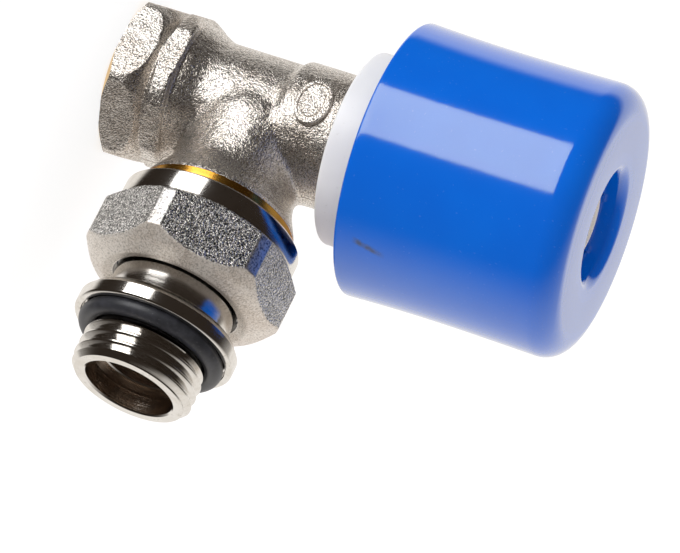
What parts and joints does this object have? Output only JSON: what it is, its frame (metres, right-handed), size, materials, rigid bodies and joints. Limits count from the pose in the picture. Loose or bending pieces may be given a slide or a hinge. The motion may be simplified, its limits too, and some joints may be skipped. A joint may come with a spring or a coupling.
{
  "type": "angled radiator valve",
  "caption": "Angle valve for a radiator: screw-down handwheel on a nickel-plated brass body, female threaded inlet and a swivelling union tailpiece with a male thread.",
  "frame": {"origin": "centre of the inlet's end face", "axes": "+Z along the spindle from the inlet to the handwheel, +X along the outlet towards the tailpiece's end"},
  "size_m": [0.0746, 0.045, 0.0815],
  "materials": {
    "nickel_cast": "satin",
    "nickel_turned": "polished",
    "brass": "satin",
    "steel": "satin",
    "black_rubber": "matte",
    "white_fibre": "matte",
    "white_plastic": "satin",
    "blue_plastic": "gloss"
  },
  "bodies": {
    "valve": {"valve_body": "nickel_cast", "bonnet": "brass", "bonnet_o_ring": "black_rubber", "pin_o_ring": "black_rubber", "gland_nut": "brass", "guide_collar": "white_plastic", "collar_bush": "brass", "spring_plate": "steel", "return_spring": "steel", "union_seal": "white_fibre"},
    "pin": {"valve_pin": "steel", "spring_cup": "steel", "pin_clip": "steel", "sealing_disc": "black_rubber", "disc_carrier": "brass", "disc_washer": "steel", "disc_nut": "brass"},
    "wheel": {"handwheel": "blue_plastic", "handwheel_insert": "nickel_turned", "insert_clip": "steel"},
    "union_ring": {"retaining_ring": "steel"},
    "nut": {"union_nut": "nickel_cast"},
    "tail": {"tailpiece": "nickel_turned", "tail_o_ring": "black_rubber"}
  },
  "joints": [
    {"name": "pin_lift", "type": "slide", "parent": "valve", "child": "pin", "axis": [0, 0, 1], "range_m": [-0.003, 0], "deforming": ["return_spring"]},
    {"name": "handwheel_turn", "type": "hinge", "parent": "pin", "child": "wheel", "pos_m": [0, 0, 0.0451], "axis": [0, 0, 1], "range_deg": [-720, 0]},
    {"name": "union_slide", "type": "slide", "parent": "valve", "child": "union_ring", "axis": [1, 0, 0], "range_m": [0, 0.00726]},
    {"name": "union_nut_turn", "type": "hinge", "parent": "union_ring", "child": "nut", "pos_m": [0.0287, 0, 0.0233], "axis": [1, 0, 0], "range_deg": [0, 1440]},
    {"name": "tail_swivel", "type": "hinge", "parent": "union_ring", "child": "tail", "pos_m": [0.0322, 0, 0.0233], "axis": [1, 0, 0], "continuous": true}
  ],
  "couplings": [
    {"joint": "pin_lift", "follows": "handwheel_turn", "m_per_rad": 0.00023873},
    {"joint": "union_slide", "follows": "union_nut_turn", "m_per_rad": 0.00028871}
  ]
}
